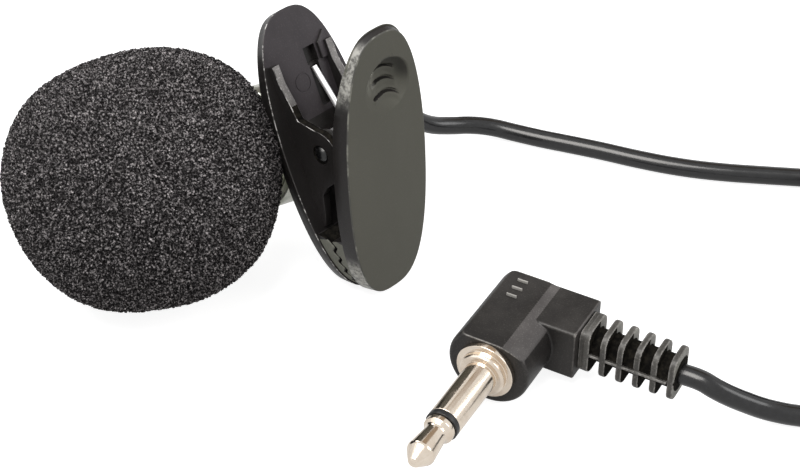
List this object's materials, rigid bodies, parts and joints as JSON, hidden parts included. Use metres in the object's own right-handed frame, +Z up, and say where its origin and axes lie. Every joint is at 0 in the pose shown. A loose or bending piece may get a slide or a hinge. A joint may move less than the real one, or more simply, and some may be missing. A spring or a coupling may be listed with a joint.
{
  "type": "lavalier microphone",
  "caption": "Clip-on lavalier microphone: foam windscreen on a slim metal barrel, sprung collar clip on a swivelling ring, and a coiled lead with a right-angle 3.5 mm plug.",
  "frame": {"origin": "bottom centre of the bounding box of the microphone head (windscreen, barrel and clip, without the lead and plug), on the table", "axes": "+Z up; +Y along the clip's pivot pin, from the windscreen's side to the lead's side; +X the way the clip's front jaw faces"},
  "size_m": [0.0968, 0.0948, 0.0329],
  "materials": {
    "foam": "open-cell polyurethane foam, black, matt and grainy",
    "satin_metal": "satin silver plating with fine turning marks",
    "can_metal": "drawn can, dull",
    "black_rubber": "soft moulded rubber, satin",
    "felt": "pressed black felt",
    "gold_film": "thin gold-coloured metal film and plate",
    "white_plastic": "natural white moulding",
    "board": "green fibreglass board",
    "chip_plastic": "black epoxy package",
    "solder": "bright solder",
    "wire_red": "insulated inner wires",
    "clip_plastic": "black moulded plastic, semi-gloss",
    "clip_face": "dark grey-black moulded plastic, fine satin texture",
    "pin_steel": "blackened steel",
    "spring_steel": "bright spring wire",
    "lead_jacket": "glossy black vinyl jacket",
    "tie": "black plastic-coated tie",
    "plug_plastic": "dark grey-black moulded vinyl, satin",
    "nickel": "bright nickel plating, slightly warm",
    "insulator": "black insulating ring",
    "brass": "stamped brass lug"
  },
  "bodies": {
    "microphone": {"mic_barrel": "satin_metal", "front_grille": "satin_metal", "capsule_can": "can_metal", "capsule_gasket": "black_rubber", "capsule_felt": "felt", "diaphragm": "gold_film", "backplate": "gold_film", "capsule_holder": "white_plastic", "capsule_board": "board", "amplifier_chip": "chip_plastic", "solder_pads": "solder", "capsule_leads": "wire_red", "rear_cap": "clip_plastic", "cable_boot": "black_rubber", "lead_mic_run": "lead_jacket", "lead_coil": "lead_jacket", "lead_plug_run": "lead_jacket", "coil_tie": "tie", "plug_body": "plug_plastic", "plug_strain_relief": "plug_plastic", "plug_sleeve": "nickel", "plug_insulator": "insulator", "plug_tip": "nickel", "plug_lug": "brass", "plug_wires": "wire_red"},
    "windscreen": {"foam_windscreen": "foam"},
    "holder": {"holder_ring": "satin_metal", "swivel_rivet": "pin_steel", "swivel_washer": "pin_steel"},
    "clip": {"rear_jaw": "clip_plastic", "pivot_pin": "pin_steel", "torsion_spring": "spring_steel"},
    "front_jaw": {"front_jaw": "clip_face"}
  },
  "joints": [
    {"name": "foam_pull", "type": "slide", "parent": "microphone", "child": "windscreen", "axis": [-0.0848, -0.9789, 0.1861], "range_m": [0, 0.02]},
    {"name": "ring_turn", "type": "hinge", "parent": "microphone", "child": "holder", "pos_m": [-0.00209, 0.00726, 0.01063], "axis": [-0.0848, -0.9789, 0.1861], "continuous": true},
    {"name": "clip_swivel", "type": "hinge", "parent": "holder", "child": "clip", "pos_m": [0.0072, 0.00726, 0.01486], "axis": [0.91, 0, 0.4147], "range_deg": [-31, 7]},
    {"name": "jaw_open", "type": "hinge", "parent": "clip", "child": "front_jaw", "pos_m": [0.01093, 0.00726, 0.01777], "axis": [0, -1, 0], "range_deg": [0, 28], "stiffness_Nm_per_rad": 0.06, "springref_deg": -40.11, "deforming": ["torsion_spring"]}
  ]
}
